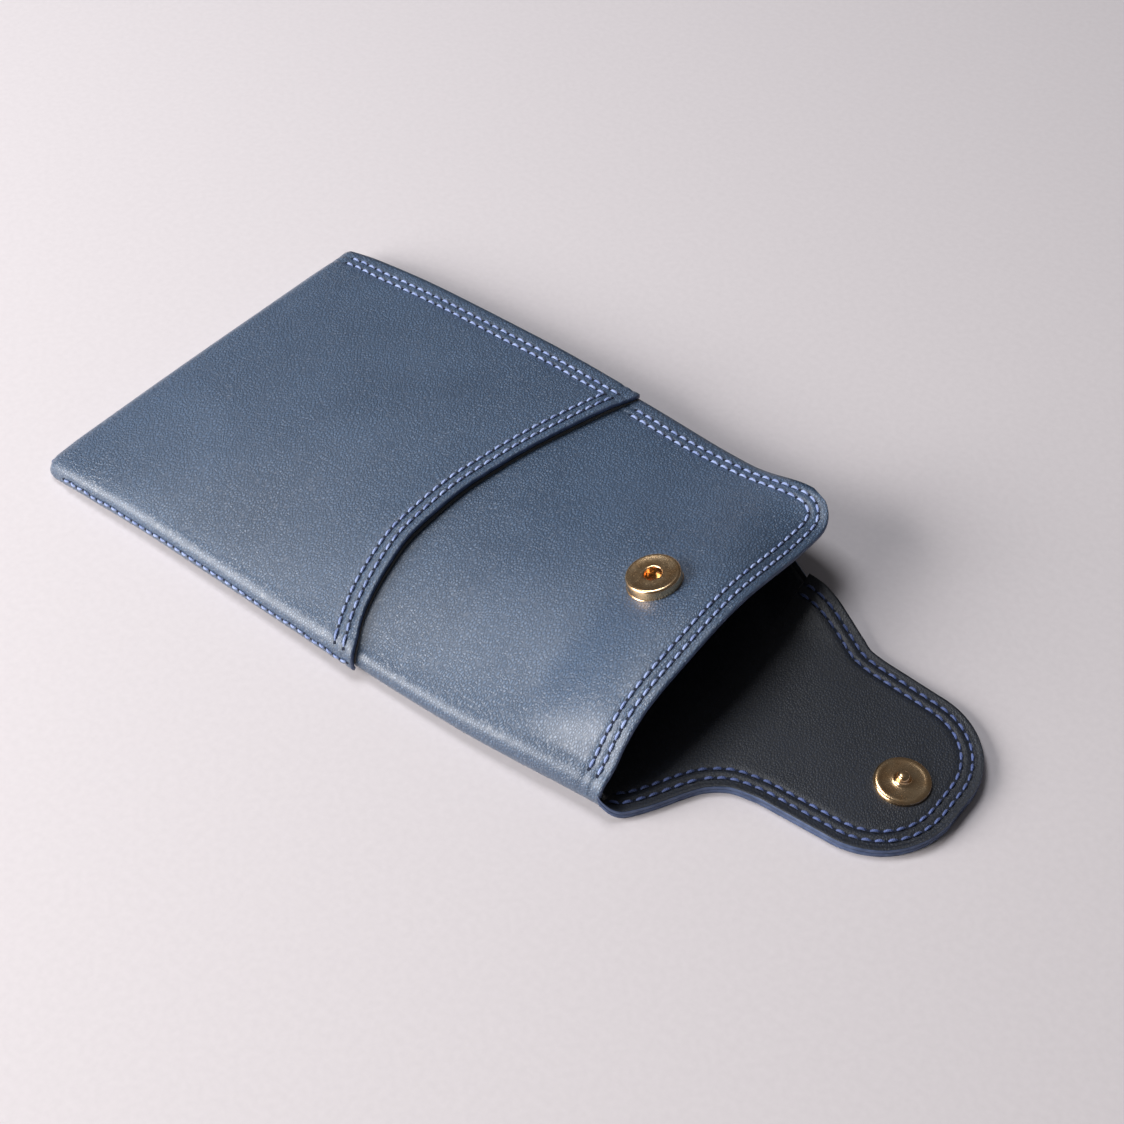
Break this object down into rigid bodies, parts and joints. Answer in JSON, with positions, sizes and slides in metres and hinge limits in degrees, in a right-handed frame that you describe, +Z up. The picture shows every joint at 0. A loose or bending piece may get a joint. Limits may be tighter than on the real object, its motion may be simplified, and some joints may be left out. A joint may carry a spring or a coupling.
{
  "type": "soft pouch glasses case",
  "caption": "Soft leather slip-in pouch for glasses with a scooped front pocket, double-stitched side seam and a folding flap that shuts on a magnetic snap.",
  "frame": {"origin": "middle of the bounding box on the table that the back lies on", "axes": "+Z up from the table, +X from the closed bottom edge towards the mouth and the flap's tip, +Y from the folded side to the sewn side"},
  "size_m": [0.232, 0.1082, 0.0249],
  "materials": {
    "outer_leather": "fine pebble grain, soft sheen",
    "facing_leather": "smooth, soft sheen",
    "lining_cloth": "fine matt cloth",
    "stiffener_board": "matt felt board",
    "thread": "twisted polyester thread",
    "gold_plate": "polished and plated",
    "magnet": "sintered, dull",
    "washer_steel": "pressed sheet"
  },
  "bodies": {
    "pouch": {"back_leather": "outer_leather", "back_stiffener": "stiffener_board", "back_lining": "lining_cloth", "fold_leather": "outer_leather", "fold_lining": "lining_cloth", "bottom_edge": "outer_leather", "front_leather": "outer_leather", "front_stiffener": "stiffener_board", "front_lining": "lining_cloth", "pocket_leather": "outer_leather", "pocket_lining": "lining_cloth", "side_seam_strip": "facing_leather", "side_seam_threads": "thread", "pocket_scoop_threads": "thread", "pocket_side_threads": "thread"},
    "mouth_front": {"mouth_leather": "outer_leather", "mouth_stiffener": "stiffener_board", "mouth_lining": "lining_cloth", "mouth_threads": "thread", "snap_socket_cap": "gold_plate", "snap_socket_plate": "gold_plate", "snap_magnet": "magnet", "snap_socket_washer": "washer_steel"},
    "flap_bridge": {"bridge_leather": "outer_leather", "bridge_facing": "facing_leather", "bridge_threads": "thread"},
    "flap_tab": {"tab_leather": "outer_leather", "tab_stiffener": "stiffener_board", "tab_facing": "facing_leather", "tab_threads": "thread", "snap_stud_plate": "gold_plate", "snap_stud_post": "gold_plate", "snap_stud_washer": "washer_steel"}
  },
  "joints": [
    {"name": "flap_fold", "type": "hinge", "parent": "pouch", "child": "flap_bridge", "pos_m": [0.054, 0, 0.0012], "axis": [0, -1, 0], "range_deg": [0, 90]},
    {"name": "tab_fold", "type": "hinge", "parent": "flap_bridge", "child": "flap_tab", "pos_m": [0.07634, 0, 0.0012], "axis": [0, -1, 0], "range_deg": [0, 99.1]},
    {"name": "mouth_flex", "type": "hinge", "parent": "pouch", "child": "mouth_front", "pos_m": [-0.056, 0, 0.022], "axis": [0, 1, 0], "range_deg": [0, 3.9]}
  ],
  "couplings": [
    {"joint": "tab_fold", "follows": "flap_fold", "ratio": 1.1011},
    {"joint": "mouth_flex", "follows": "flap_fold", "ratio": 0.04333}
  ]
}
